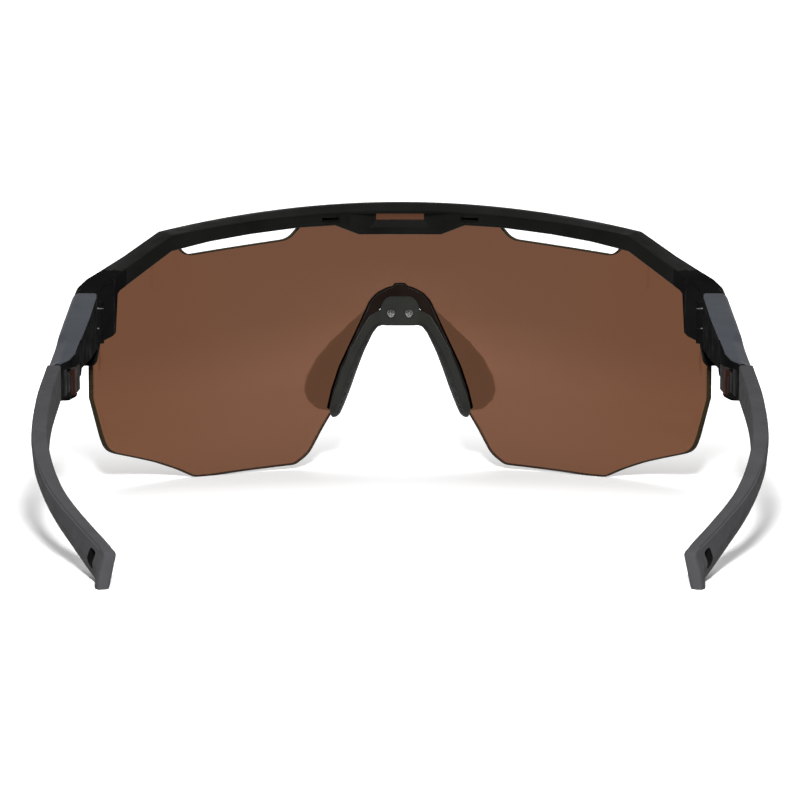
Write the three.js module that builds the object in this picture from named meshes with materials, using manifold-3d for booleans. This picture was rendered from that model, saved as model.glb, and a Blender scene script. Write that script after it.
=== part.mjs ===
// Wraparound sport sunglasses: a half-rim brow frame that holds one cylindrical shield lens, a clipped
// nose bracket with a screwed rubber saddle, and two folding temples with rubber ear sleeves.
// Millimetres. X points to the wearer's left, Y from the lens back to the ears, Z up.
// The pieces are drawn with Y = 0 at the lens apex, and the finished group is moved forward so that
// its origin lies under the middle of the whole object, on the surface that it stands on.
import * as THREE from 'three';
import { mergeVertices } from 'three/addons/utils/BufferGeometryUtils.js';
import { LoftGeometry } from 'three/addons/geometries/LoftGeometry.js';
import Module from 'manifold-3d';

const wasm = await Module();
wasm.setup();

// Driving dimensions.
const LENS_RADIUS = 80; // both faces of the shield, each about a vertical axis
const LENS_THICKNESS = 2; // at the middle; the shifted axes thin it to 1.1 at the sides
const LENS_HALF_WIDTH = 67.3;
const BROW_TOP = 60.4; // highest point of the frame
const FRAME_FRONT = 81.3; // radii of the brow bar about the lens axis
const FRAME_BACK = 75;
const CLEARANCE = 0.3; // between neighbouring pieces
const HINGE = { x: 64.6, y: 42, radius: 1.5, bottom: 32.6, top: 41.6 };
const KNUCKLE = { bottom: 36, top: 40 }; // the temple's middle barrel
const HINGE_SCREW = { shank: 0.5, head: 0.9, bottom: 32.9, seat: 33.5, top: 41 };
const SEAM_Y = 40.9; // rear end of the frame
const SLEEVE_Y = 86.3; // front end of the rubber sleeve
const TIP_Y = 157.94; // rearmost point of the temples
const FRONT_Y = LENS_RADIUS - FRAME_FRONT;
const CYLINDER_SIDES = 160;

const COLOURS = {
  gloss: { color: 0x1e1e20, roughness: 0.18, metalness: 0 },
  lens: { color: 0x76503e, roughness: 0.08, metalness: 0.1 },
  bracket: { color: 0x17150f, roughness: 0.35, metalness: 0 },
  pad: { color: 0x343530, roughness: 0.75, metalness: 0 },
  arm: { color: 0x2a2b30, roughness: 0.2, metalness: 0 },
  sleeve: { color: 0x545456, roughness: 0.65, metalness: 0 },
  trim: { color: 0x0d0c0c, roughness: 0.25, metalness: 0 },
  steel: { color: 0xb9b9b6, roughness: 0.3, metalness: 1 },
};

// ---- helpers ----

// Six times the signed volume of an indexed mesh tells which way its faces point.
function signedVolume(positions, triangles) {
  const [a, b, c] = [new THREE.Vector3(), new THREE.Vector3(), new THREE.Vector3()];
  let sum = 0;
  for (let i = 0; i < triangles.length; i += 3) {
    a.fromArray(positions, triangles[i] * 3);
    b.fromArray(positions, triangles[i + 1] * 3);
    c.fromArray(positions, triangles[i + 2] * 3);
    sum += a.dot(b.cross(c));
  }
  return sum;
}

function solidFrom(geometry) {
  const bare = new THREE.BufferGeometry().copy(geometry);
  bare.deleteAttribute('normal');
  bare.deleteAttribute('uv');
  const merged = mergeVertices(bare, 1e-4);
  const positions = merged.getAttribute('position').array;
  const source = merged.getIndex().array;
  const triangles = [];
  for (let i = 0; i < source.length; i += 3) {
    const [a, b, c] = source.slice(i, i + 3);
    if (a !== b && b !== c && c !== a) triangles.push(a, b, c);
  }
  if (signedVolume(positions, triangles) < 0) triangles.reverse();
  return new wasm.Manifold(new wasm.Mesh({
    numProp: 3,
    vertProperties: new Float32Array(positions),
    triVerts: new Uint32Array(triangles),
  }));
}

function geometryFrom(solid) {
  const result = solid.getMesh();
  const geometry = new THREE.BufferGeometry();
  geometry.setAttribute('position', new THREE.BufferAttribute(result.vertProperties, 3));
  geometry.setIndex(new THREE.BufferAttribute(result.triVerts, 1));
  geometry.computeVertexNormals();
  return geometry;
}

function named(name, solid, finish) {
  const mesh = new THREE.Mesh(geometryFrom(solid), new THREE.MeshStandardMaterial(COLOURS[finish]));
  mesh.name = name;
  return mesh;
}

// Mirror image across the plane X = 0, for the wearer's right side.
function mirrored(solid) {
  const geometry = geometryFrom(solid);
  geometry.scale(-1, 1, 1);
  return solidFrom(geometry);
}

function bothSides(solid) {
  return solid.add(mirrored(solid));
}

function centroid(ring) {
  return ring.reduce((sum, point) => sum.add(point), new THREE.Vector3()).divideScalar(ring.length);
}

// Whether a ring turns counterclockwise when it is looked at from the next ring.
function turnsOnward(ring, next) {
  const middle = centroid(ring);
  const normal = new THREE.Vector3();
  ring.forEach((point, i) => {
    const spoke = point.clone().sub(middle);
    normal.add(spoke.cross(ring[(i + 1) % ring.length].clone().sub(middle)));
  });
  return normal.dot(centroid(next).sub(middle)) > 0;
}

// Sections are lists of [x, y, z] with the same number of points.
function loft(sections) {
  const rings = sections.map((ring) => ring.map((point) => new THREE.Vector3(...point)));
  if (!turnsOnward(rings[0], rings[1])) rings.forEach((ring) => ring.reverse());
  return solidFrom(new LoftGeometry(rings, { capStart: true, capEnd: true }));
}

function verticalCylinder(radius, x, y, bottom, top, sides = 24) {
  const geometry = new THREE.CylinderGeometry(radius, radius, top - bottom, sides);
  geometry.rotateX(Math.PI / 2);
  geometry.translate(x, y, (top + bottom) / 2);
  return solidFrom(geometry);
}

function block(x0, x1, y0, y1, z0, z1) {
  const geometry = new THREE.BoxGeometry(x1 - x0, y1 - y0, z1 - z0);
  geometry.translate((x0 + x1) / 2, (y0 + y1) / 2, (z0 + z1) / 2);
  return solidFrom(geometry);
}

// A point at radius r about the lens axis, at the angle where the lens face is x from the middle.
function onRadius(x, z, r) {
  return [(x / LENS_RADIUS) * r, LENS_RADIUS - r * Math.sqrt(1 - (x / LENS_RADIUS) ** 2), z];
}

// An outline on the lens face, [x, z], swept square to that face through the given radii.
function radialPrism(outline, radii) {
  return loft(radii.map((r) => outline.map(([x, z]) => onRadius(x, z, r))));
}

function mirroredOutline(half) {
  return [...half, ...half.map(([x, z]) => [-x, z]).reverse()];
}

// Height at angle-like coordinate x along a list of [x, z] corners.
function heightAt(corners, x) {
  const next = corners.findIndex((corner) => corner[0] >= x);
  if (next <= 0) return corners[next === 0 ? 0 : corners.length - 1][1];
  const [x0, z0] = corners[next - 1];
  const [x1, z1] = corners[next];
  return THREE.MathUtils.mapLinear(x, x0, x1, z0, z1);
}

// ---- lens ----

// Outline of the shield on its outer face, from the top middle round the wearer's left half to the
// top of the nose cut-out. The notch in the top edge is the upper vent.
function lensOutline(grow) {
  const side = LENS_HALF_WIDTH + grow;
  const half = [
    [8, 58.8 + grow], [8.6, 56.6 + grow], [22.2, 56.2 + grow],
    [25, 53], [26.4, 52.3], [47.5, 49.7], [48.9, 50.8],
    [49.6, 52.6 + grow], [61.5, 46.5 + grow], [65, 43 + grow], [side, 40],
    [side, 20.3], [65.4 + grow, 11.5], [64.7 + grow, 9.2], [63.9 + grow, 8], [62.6, 7.2 - grow],
    [54.6, 4.2 - grow], [50.1, 2.1 - grow], [46.4, -grow], [42.6, -grow], [24.1, 1.3 - grow],
    [21.8, 3], [20.6, 4.3], [17.9 - grow, 9.3], [15.3 - grow, 13.6],
    [14.3 - grow, 18], [10.7 - grow, 28], [7.2 - grow, 35], [5.2 - grow, 38 - grow], [2.8, 39.8 - grow],
  ];
  return mirroredOutline(half);
}

const LENS_BLANK = { bottom: -5, top: 70 }; // height of the uncut cylinder
const PRISM_RADII = [55, 76, 83, 200]; // where the outline is swept, well inside and outside the lens

// The shell between two equal cylinders whose axes are one lens thickness apart.
function lensShell(grow) {
  const { bottom, top } = LENS_BLANK;
  const outside = verticalCylinder(LENS_RADIUS + grow, 0, LENS_RADIUS, bottom, top, CYLINDER_SIDES);
  const innerY = LENS_RADIUS + LENS_THICKNESS;
  const inside = verticalCylinder(LENS_RADIUS - grow, 0, innerY, bottom - 1, top + 1, CYLINDER_SIDES);
  return outside.subtract(inside).intersect(radialPrism(lensOutline(grow), PRISM_RADII));
}

// ---- front frame ----

// Corners of the brow bar: top edge by x on its front face, bottom edge by x on its rear face.
const BROW_ARC_X = 53.6; // the top edge is a shallow parabola as far as this corner
const BROW_ARC_SPREAD = 530; // the larger, the flatter the parabola
const BROW_STEPS = 15; // sections between the middle and that corner
const BROW_FACET = { drop: 1.9, least: 0.4, end: 60 }; // rear facet: fades out towards x = end
const browArc = (x) => BROW_TOP - (x * x) / BROW_ARC_SPREAD;
const WING_TOP = [
  [BROW_ARC_X, browArc(BROW_ARC_X)], [60.6, 50.2], [65.1, 47.5], [67.9, 45.9], [69.4, 44.5], [69.9, 43.2],
];
const BROW_BOTTOM = [
  [0, 53.3], [9.1, 53.3], [14.4, 55.4], [22.3, 55], [33.2, 53.8], [41.8, 52.5], [49.6, 50.8],
  [60, 43.1], [60.6, 42.2], [61, 34.4], [64.2, 33],
];

// One section of the bar in the radial plane at the given angle.
function browSection(angle) {
  const front = FRAME_FRONT * Math.sin(Math.abs(angle));
  const back = FRAME_BACK * Math.sin(Math.abs(angle));
  const top = front < BROW_ARC_X ? browArc(front) : heightAt(WING_TOP, front);
  const bottom = heightAt(BROW_BOTTOM, back);
  const facet = BROW_FACET.drop * (1 - (back / BROW_FACET.end) ** 2);
  const slope = Math.max(BROW_FACET.least, facet);
  const profile = [
    [FRAME_FRONT, bottom + 0.3], [FRAME_FRONT, top - 1], [FRAME_FRONT - 0.8, top],
    [FRAME_FRONT - 3.2, top - 0.1], [FRAME_BACK, top - slope], [FRAME_BACK, bottom + 0.4],
    [FRAME_BACK + 0.5, bottom], [FRAME_FRONT - 0.4, bottom],
  ];
  return profile.map(([r, z]) => [r * Math.sin(angle), LENS_RADIUS - r * Math.cos(angle), z]);
}

// Section angles: every corner of the two edges, and an even spread between them.
function browAngles() {
  const last = Math.asin(WING_TOP.at(-1)[0] / FRAME_FRONT);
  const corners = [
    ...WING_TOP.map(([x]) => Math.asin(x / FRAME_FRONT)),
    ...BROW_BOTTOM.map(([x]) => Math.asin(x / FRAME_BACK)),
  ].filter((angle) => angle <= last);
  const spread = Array.from({ length: BROW_STEPS }, (_, i) => ((i + 0.5) / BROW_STEPS) * corners[0]);
  const half = [...new Set([...corners, ...spread])].sort((a, b) => a - b);
  const leastStep = 0.002;
  const spaced = half.filter((angle, i) => i === 0 || angle - half[i - 1] > leastStep);
  return [...spaced.slice(1).reverse().map((angle) => -angle), ...spaced];
}

const END_BLOCK_Y = 35.5; // front end of the block, inside the wing

// End block behind the wing, with the frame's two hinge barrels; its top slopes down to the temple.
function endBlock() {
  const section = (y, outer, top, inner) => [
    [61.1, y, 34.1], [64.4, y, 32.5], [65.2, y, 27.9], [65.6, y, 27.6], [outer - 0.8, y, 27.6],
    [outer, y, top - 1.2], [outer - 0.7, y, top], [64.2, y, top + 0.1], [61.1, y, inner],
  ];
  const body = loft([section(END_BLOCK_Y, 67.9, 45.4, 46.4), section(SEAM_Y, 69.7, 43.2, 45.6)]);
  const { x, y, radius, bottom, top } = HINGE;
  return body.add(verticalCylinder(radius, x, y, bottom, top));
}

// Room for the temple's barrel between the frame's two.
function knuckleRoom() {
  const { x, y, radius } = HINGE;
  return verticalCylinder(radius + CLEARANCE, x, y, KNUCKLE.bottom - CLEARANCE, KNUCKLE.top + CLEARANCE);
}

const SCREW_GAP = 0.25; // round the hinge screw

// The screw's blind shank hole, and a counterbore for its head in the lower barrel.
function hingeScrewHole() {
  const { x, y, bottom } = HINGE;
  const { shank, head, seat, top } = HINGE_SCREW;
  const bore = verticalCylinder(shank + SCREW_GAP, x, y, bottom - 1, top + CLEARANCE);
  return bore.add(verticalCylinder(head + SCREW_GAP, x, y, bottom - 1, seat + CLEARANCE));
}

const WINDOW = { side: 5.4, bottom: 56.4, top: 57.9 };
const POCKET = { inner: 13.7, outer: 17.5, front: 4.5, bottom: 56.05, top: 57.15 };
const BEHIND_BAR = 10; // a Y behind the middle of the bar's rear face

// Upper vent in the middle of the bar: a window with a funnel on its rear side, wider at its top.
function centreVent() {
  const window = block(-WINDOW.side, WINDOW.side, -5, BEHIND_BAR, WINDOW.bottom, WINDOW.top);
  const section = (y, low, high, bottom, top) => [
    [-low, y, bottom], [low, y, bottom], [high, y, top], [-high, y, top],
  ];
  return window.add(loft([section(2.7, 5.6, 5.8, 56.2, 58), section(6.2, 7, 12.6, 54.4, 58)]));
}

function frontFrame() {
  const behindSeam = block(-LENS_RADIUS, LENS_RADIUS, SEAM_Y, SEAM_Y + 5, 20, BROW_TOP);
  const bar = loft(browAngles().map(browSection)).subtract(behindSeam);
  const pocket = block(POCKET.inner, POCKET.outer, POCKET.front, BEHIND_BAR, POCKET.bottom, POCKET.top);
  return bar
    .add(bothSides(endBlock()))
    .subtract(lensShell(CLEARANCE))
    .subtract(centreVent())
    .subtract(bothSides(pocket))
    .subtract(bothSides(knuckleRoom()))
    .subtract(bothSides(hingeScrewHole()));
}

// ---- nose bracket, saddle and screws ----

// Arch that clips over the edge of the nose cut-out.
function bracketOutline() {
  const outer = [
    [0, 42], [1.3, 42], [1.5, 41.4], [3, 41], [5.3, 39.8], [6.9, 38], [8.4, 34.8], [11.6, 28],
    [13.9, 23.1], [15.6, 17.9], [16.6, 13.6],
  ];
  const inner = [
    [14.6, 13.2], [13.4, 17.2], [11.7, 22], [9.4, 27], [6.3, 33.6], [4.9, 36.6], [3.6, 37.9], [0, 38.4],
  ];
  const half = [...outer.slice(1), ...inner.slice(0, -1)];
  return mirroredOutline(half);
}

const BRACKET_RADII = [74.6, 81]; // rear and front of the arch about the lens axis
const BOSS = { side: 4.3, front: 3.2, bottom: 34.4, top: 39.2 };
const SADDLE_FRONT = 6; // front face of the rubber saddle
const SADDLE_CURVE = 150; // its arms' front faces stand back by x * x / this
const NOSE_SCREW = { x: 2, z: 36, shank: 0.45, head: 0.9, tip: 3.6, face: 9.4 };

function noseScrewHole() {
  const { x, z, shank, face } = NOSE_SCREW;
  const radius = shank + CLEARANCE;
  const length = 2 * SADDLE_FRONT;
  const geometry = new THREE.CylinderGeometry(radius, radius, length, 16);
  geometry.translate(x, face, z);
  return solidFrom(geometry);
}

function noseBracket() {
  const arch = radialPrism(bracketOutline(), BRACKET_RADII);
  const boss = block(-BOSS.side, BOSS.side, BOSS.front, SADDLE_FRONT - CLEARANCE, BOSS.bottom, BOSS.top);
  return arch.add(boss).subtract(lensShell(CLEARANCE)).subtract(bothSides(noseScrewHole()));
}

// One arm of the saddle, from the centre block down to the rounded tip: a plate that stands back
// from the lens and opens outwards towards the face.
function saddleArm() {
  const ring = (z, x, thick, depth, spread) => {
    const front = SADDLE_FRONT + (x * x) / SADDLE_CURVE;
    return [
      [x, front, z], [x + thick, front, z], [x + thick + spread, front + depth * 0.7, z],
      [x + thick * 0.8 + spread, front + depth, z], [x + thick * 0.3 + spread, front + depth, z],
      [x + spread * 0.7, front + depth * 0.75, z],
    ];
  };
  return loft([
    ring(35.8, 3.9, 1.9, 4.4, 0.4), ring(34.2, 4.7, 2.6, 5.4, 0.6), ring(31.6, 6, 2.5, 7, 1),
    ring(27.3, 8, 2.5, 9, 1.2), ring(23.3, 9.5, 2.5, 10.6, 1.3), ring(19.3, 10.9, 2.5, 10.8, 1.3),
    ring(15.9, 12.3, 2.3, 9.6, 1.2), ring(13.8, 13.1, 1.9, 7.6, 1), ring(12.9, 13.7, 1.2, 5.6, 0.8),
  ]);
}

function noseSaddle() {
  const centre = new THREE.Shape();
  centre.moveTo(-4.6, 33.2);
  centre.lineTo(4.6, 33.2);
  centre.lineTo(4.4, 37.2);
  centre.quadraticCurveTo(4.3, 39.5, 2.6, 39.6);
  centre.lineTo(-2.6, 39.6);
  centre.quadraticCurveTo(-4.3, 39.5, -4.4, 37.2);
  const depth = NOSE_SCREW.face - SADDLE_FRONT;
  const geometry = new THREE.ExtrudeGeometry(centre, { depth, bevelEnabled: false, curveSegments: 5 });
  geometry.rotateX(Math.PI / 2);
  geometry.translate(0, NOSE_SCREW.face, 0);
  return solidFrom(geometry).add(bothSides(saddleArm())).subtract(bothSides(noseScrewHole()));
}

// Pan-head screw along Y; its head stands on the saddle's rear face.
function noseScrew() {
  const { x, z, shank, head, tip, face } = NOSE_SCREW;
  const seat = face + CLEARANCE;
  const crown = seat + 0.7;
  const profile = [
    [0, tip], [shank, tip], [shank, seat], [head, seat],
    [head, seat + 0.3], [head * 0.55, crown], [0, crown],
  ];
  const geometry = new THREE.LatheGeometry(profile.map(([r, y]) => new THREE.Vector2(r, y)), 16);
  geometry.translate(x, 0, z);
  return solidFrom(geometry);
}

// ---- hinge screw ----

function hingeScrew() {
  const { shank, head, bottom, seat, top } = HINGE_SCREW;
  const profile = [[0, bottom], [head, bottom], [head, seat], [shank, seat], [shank, top], [0, top]];
  const geometry = new THREE.LatheGeometry(profile.map(([r, z]) => new THREE.Vector2(r, z)), 16);
  geometry.rotateX(Math.PI / 2);
  geometry.translate(HINGE.x, HINGE.y, 0);
  return solidFrom(geometry);
}

// ---- temple ----

// Eight-sided upright section at y, between inner and outer faces; the underside slopes outwards.
function armSection(y, inner, outer, innerBottom, outerBottom, top) {
  const bevel = 0.8;
  return [
    [inner, y, innerBottom + bevel], [inner + bevel, y, innerBottom],
    [outer - bevel, y, outerBottom], [outer, y, outerBottom + bevel],
    [outer, y, top - bevel], [outer - bevel, y, top], [inner + bevel, y, top], [inner, y, top - bevel],
  ];
}

// Upper outer edge of the whole sleeve, from its front end to the tip.
const SLEEVE_EDGE = new THREE.CatmullRomCurve3([
  new THREE.Vector3(70.5, SLEEVE_Y, 32.8), new THREE.Vector3(71, 103, 27.6),
  new THREE.Vector3(70, 119, 21.8), new THREE.Vector3(66.2, 133, 15.5),
  new THREE.Vector3(60.1, 144, 10.2), new THREE.Vector3(53.7, 156.3, 6.4),
]);
const SLEEVE_HEIGHT = 7.2;
const LEAN = 2.4; // how far the underside turns inwards behind the ear
const LEAN_RANGE = [0.2, 1.15]; // where along the sleeve that begins, and would end again
const CAP_LEAN = 1.6; // how far the end cap's foot stands out again
const CAP_RANGE = [0.952, 0.978]; // where along the sleeve the end cap begins
const INNER_LEAN = 2; // how far the inner side turns outwards towards the tip
const TIP_RAKE = 1.45; // how far the underside reaches past the top at the tip

// Section of the sleeve at t, square to its plan path and inset on every side. A negative t lies
// straight ahead of the sleeve, inside the arm.
function sleeveSection(t, inset) {
  const within = Math.max(t, 0);
  const edge = SLEEVE_EDGE.getPoint(within);
  edge.addScaledVector(SLEEVE_EDGE.getTangent(within), (t - within) * SLEEVE_EDGE.getLength());
  const run = SLEEVE_EDGE.getTangent(within).setZ(0).normalize();
  const inward = new THREE.Vector3(-run.y, run.x, 0);
  const thick = THREE.MathUtils.lerp(2.9, 3.6, within);
  const atTip = THREE.MathUtils.smoothstep(within, 0.75, 1);
  const turn = LEAN * Math.sin(Math.PI * THREE.MathUtils.smoothstep(within, ...LEAN_RANGE));
  const outerLean = turn - CAP_LEAN * THREE.MathUtils.smoothstep(within, ...CAP_RANGE);
  const innerLean = turn - INNER_LEAN * THREE.MathUtils.smoothstep(within, 0.8, 1);
  const taper = THREE.MathUtils.smoothstep(within, 0.6, 1) * 0.9;
  const bevel = inset > 0 ? 0.2 : 0.7;
  const low = inset - SLEEVE_HEIGHT;
  const far = thick - inset;
  const corners = [
    [inset, -inset - bevel], [inset + bevel, -inset], [far - bevel, -inset], [far, -inset - bevel],
    [far + innerLean - taper, low + bevel], [far + innerLean - taper - bevel, low],
    [inset + outerLean + bevel, low], [inset + outerLean, low + bevel],
  ];
  return corners.map(([across, up]) => {
    const rake = (-up / SLEEVE_HEIGHT) * TIP_RAKE * atTip;
    const place = edge.clone().addScaledVector(inward, across).addScaledVector(run, rake);
    return [place.x, place.y, place.z + up];
  });
}

function stations(from, to, steps) {
  return Array.from({ length: steps + 1 }, (_, i) => THREE.MathUtils.lerp(from, to, i / steps));
}

function sleeveLoft(places, inset) {
  return loft(places.map((t) => sleeveSection(t, inset)));
}

const SLEEVE_WALL = 0.75; // round the arm's spine
const SPINE_END = 0.84; // how far along the sleeve the spine reaches
const CORD_SLOT = { across: 12, along: 2.8, height: 3.4, tilt: [-15, 0, 27.5], middle: [54.3, 150.6, 4.7] };

// The rubber sleeve: flat where it stands on the tip, with a cord slot and a long blind core hole.
function templeSleeve() {
  const core = sleeveLoft(stations(-0.04, SPINE_END + 0.02, 20), SLEEVE_WALL);
  const belowFloor = block(40, 60, 140, 165, -5, 0);
  const { across, along, height, tilt, middle } = CORD_SLOT;
  const slot = block(-across / 2, across / 2, -along / 2, along / 2, -height / 2, height / 2);
  const tilted = slot.rotate(tilt).translate(middle);
  const skin = sleeveLoft([...stations(0, CAP_RANGE[0], 23), CAP_RANGE[1], 1], 0);
  return skin.subtract(core).subtract(belowFloor).subtract(tilted);
}

// The ribbed inlay on the inner side of the arm, just ahead of the sleeve.
const TRIM = { inner: 65.3, outer: 67.7, front: 72, back: 85.4, bottom: 26.2, top: 31.4 };

function templeTrim() {
  const { inner, outer, front, back, bottom, top } = TRIM;
  const plan = new THREE.Shape();
  const ribs = 3;
  const pitch = 0.42; // each rib is one pitch further in and ends 1 mm further forward
  const firstRib = outer - 0.5;
  plan.moveTo(inner, front);
  plan.lineTo(outer, front);
  plan.lineTo(outer, back);
  plan.lineTo(firstRib, back);
  for (let i = 0; i < ribs; i += 1) {
    plan.lineTo(firstRib - i * pitch, back - 0.6 - i);
    plan.lineTo(firstRib - (i + 0.6) * pitch, back - 0.6 - i);
    plan.lineTo(firstRib - (i + 1) * pitch, back - 0.9 - i);
  }
  plan.lineTo(inner, back - 5);
  const geometry = new THREE.ExtrudeGeometry(plan, { depth: top - bottom, bevelEnabled: false });
  geometry.translate(0, 0, bottom);
  return solidFrom(geometry);
}

function templeArm() {
  const start = SEAM_Y + CLEARANCE;
  const end = SLEEVE_Y - CLEARANCE;
  const body = loft([
    armSection(start, 64.3, 69.7, 31.6, 28.6, 43.3), armSection(58, 64.5, 70, 30.7, 27.2, 39.4),
    armSection(70.5, 65, 70.2, 30.3, 25.9, 36.4), armSection(74, 65.1, 70.2, 26.4, 25.4, 35.6),
    armSection(79, 65.3, 70.3, 25.4, 25, 34.4), armSection(83.5, 66.2, 70.4, 25.2, 25, 33.4),
    armSection(end, 67.7, 70.5, 25.6, 25.5, 32.9),
  ]);
  const { x, y, radius, bottom, top } = HINGE;
  const gap = CLEARANCE;
  const barrelRoom = verticalCylinder(radius + gap, x, y, bottom - 9, top + gap);
  const knuckle = verticalCylinder(radius, x, y, KNUCKLE.bottom, KNUCKLE.top);
  const web = block(x, x + 3, y, y + 3, KNUCKLE.bottom, KNUCKLE.top);
  const screwHole = verticalCylinder(HINGE_SCREW.shank + SCREW_GAP, x, y, bottom, top);
  const inlayRoom = block(
    TRIM.inner - 2, TRIM.outer + gap, TRIM.front - gap, end + 1, TRIM.bottom - gap, TRIM.top + gap,
  );
  const spine = sleeveLoft(stations(-0.03, SPINE_END, 20), SLEEVE_WALL + gap);
  return body.subtract(barrelRoom).add(knuckle).add(web).subtract(screwHole).subtract(inlayRoom).add(spine);
}

// ---- assembly ----

const glasses = new THREE.Group();
glasses.name = 'wraparound_sunglasses';
glasses.position.y = -(FRONT_Y + TIP_Y) / 2;

glasses.add(named('front_frame', frontFrame(), 'gloss'));
glasses.add(named('shield_lens', lensShell(0), 'lens'));
glasses.add(named('nose_bracket', noseBracket(), 'bracket'));
glasses.add(named('nose_saddle', noseSaddle(), 'pad'));

const SIDED_PIECES = [
  ['nose_screw', noseScrew(), 'steel'],
  ['hinge_screw', hingeScrew(), 'steel'],
  ['temple_arm', templeArm(), 'arm'],
  ['temple_trim', templeTrim(), 'trim'],
  ['temple_sleeve', templeSleeve(), 'sleeve'],
];
for (const [name, solid, finish] of SIDED_PIECES) {
  glasses.add(named(`left_${name}`, solid, finish));
  glasses.add(named(`right_${name}`, mirrored(solid), finish));
}

export default glasses;
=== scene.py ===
"""Wraparound sport sunglasses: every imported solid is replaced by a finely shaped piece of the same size.

Shapes are drawn in millimetres with Y = 0 at the lens apex, and moved into the frame when they are done.
+X is the wearer's left, +Y runs back to the ears, +Z is up.
"""

import math

import bmesh
import bpy
from mathutils import Matrix, Vector


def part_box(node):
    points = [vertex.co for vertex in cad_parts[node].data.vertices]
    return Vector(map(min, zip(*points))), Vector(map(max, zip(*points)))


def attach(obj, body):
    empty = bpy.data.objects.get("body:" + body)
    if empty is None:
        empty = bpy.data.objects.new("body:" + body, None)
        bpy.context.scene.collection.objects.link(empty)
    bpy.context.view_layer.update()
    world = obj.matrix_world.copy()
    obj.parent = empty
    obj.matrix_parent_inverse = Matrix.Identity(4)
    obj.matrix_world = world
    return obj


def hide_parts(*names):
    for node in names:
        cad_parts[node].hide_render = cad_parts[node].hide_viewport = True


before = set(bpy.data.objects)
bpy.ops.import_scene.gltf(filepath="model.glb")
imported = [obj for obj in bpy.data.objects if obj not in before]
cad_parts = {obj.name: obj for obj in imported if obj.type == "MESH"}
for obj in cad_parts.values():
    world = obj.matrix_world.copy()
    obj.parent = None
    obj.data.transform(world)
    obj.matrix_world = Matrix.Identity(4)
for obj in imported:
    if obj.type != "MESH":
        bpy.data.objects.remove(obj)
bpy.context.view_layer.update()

MM = 0.001
APEX_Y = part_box("shield_lens")[0].y
TO_FRAME = Matrix.Translation((0, APEX_Y, 0)) @ Matrix.Scale(MM, 4)

LENS_RADIUS = 80  # outer face, about the axis X = 0, Y = 80
LENS_THICKNESS = 2  # at the middle
LENS_HALF_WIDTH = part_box("shield_lens")[1].x / MM
LENS_BEVEL = 0.3
LENS_ROWS = 18  # quads from its lower to its upper edge
PAINTED_VENT_SHADE = (55.8, 56.8)  # heights between which the lens is darkened with painted shade, behind the vent
BROW_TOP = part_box("front_frame")[1].z / MM
FRAME_FRONT = 81.3  # radii of the brow bar about the lens axis
FRAME_BACK = 75
CLEARANCE = 0.3
HINGE_X, HINGE_Y, HINGE_RADIUS = 64.6, 42, 1.5
BARREL_BOTTOM, BARREL_TOP = 32.6, 41.6
KNUCKLE_BOTTOM, KNUCKLE_TOP = 36, 40
HINGE_SCREW = {"shank": 0.5, "head": 0.9, "bottom": 32.9, "seat": 33.5, "top": 41}
SCREW_GAP = 0.25  # round the hinge screw
SEAM_Y = 40.9  # rear end of the frame
SLEEVE_Y = 86.3  # front end of the rubber sleeve
SLEEVE_HEIGHT = 7.2


# ---- outlines and skins ----


def rounded(corners, reach, steps=4):
    """The closed outline through the corners, with a short curve in place of each one."""
    points = []
    for i, corner in enumerate(corners):
        here = Vector(corner)
        back = Vector(corners[i - 1]) - here
        on = Vector(corners[(i + 1) % len(corners)]) - here
        start = here + back.normalized() * min(reach, back.length * 0.45)
        end = here + on.normalized() * min(reach, on.length * 0.45)
        for k in range(steps + 1):
            t = k / steps
            points.append(start.lerp(here, t).lerp(here.lerp(end, t), t))
    return points


def rounded_chain(corners, reach, steps=4):
    """An open line through the corners, with a short curve in place of each inner one."""
    closed = rounded(corners, reach, steps)
    inner = closed[steps + 1 : -(steps + 1)]
    return [Vector(corners[0]), *inner, Vector(corners[-1])]


def height_at(chain, x):
    """Height at x along a line whose corners, (x, z), run outwards."""
    if x <= chain[0][0]:
        return chain[0][1]
    for (x0, z0), (x1, z1) in zip(chain, chain[1:]):
        if x <= x1:
            return z0 + (z1 - z0) * (x - x0) / max(x1 - x0, 1e-9)
    return chain[-1][1]


def row_at(rows, at):
    """The other numbers of a table's row at a place along its first column, between its rows."""
    if at <= rows[0][0]:
        return list(rows[0][1:])
    for low, high in zip(rows, rows[1:]):
        if at <= high[0]:
            t = (at - low[0]) / (high[0] - low[0])
            return [a + (b - a) * t for a, b in zip(low[1:], high[1:])]
    return list(rows[-1][1:])


def spaced(start, end, count):
    return [start + (end - start) * i / (count - 1) for i in range(count)]


def smoothstep(x, low, high):
    t = min(max((x - low) / (high - low), 0), 1)
    return t * t * (3 - 2 * t)


def loft(rings):
    """Skin over closed rings that have the same number of points, with both ends closed."""
    n = len(rings[0])
    points = [point for ring in rings for point in ring]
    faces = [tuple(range(n)), tuple(range(len(points) - n, len(points)))]
    for base in range(0, len(points) - n, n):
        faces += [(base + i, base + (i + 1) % n, base + n + (i + 1) % n, base + n + i) for i in range(n)]
    return points, faces


def lathe(profile, sides=40):
    """Solid of revolution about Z; the profile, (radius, z), starts and ends on the axis."""
    ring = [(math.cos(math.tau * k / sides), math.sin(math.tau * k / sides)) for k in range(sides)]
    middle = profile[1:-1]
    points = [(r * c, r * s, z) for r, z in middle for c, s in ring]
    faces = []
    for base in range(0, len(points) - sides, sides):
        faces += [(base + k, base + (k + 1) % sides, base + sides + (k + 1) % sides, base + sides + k)
                  for k in range(sides)]
    bottom, top = len(points), len(points) + 1
    last = len(points) - sides
    points += [(0, 0, profile[0][1]), (0, 0, profile[-1][1])]
    faces += [((k + 1) % sides, k, bottom) for k in range(sides)]
    faces += [(last + k, last + (k + 1) % sides, top) for k in range(sides)]
    return points, faces


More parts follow.
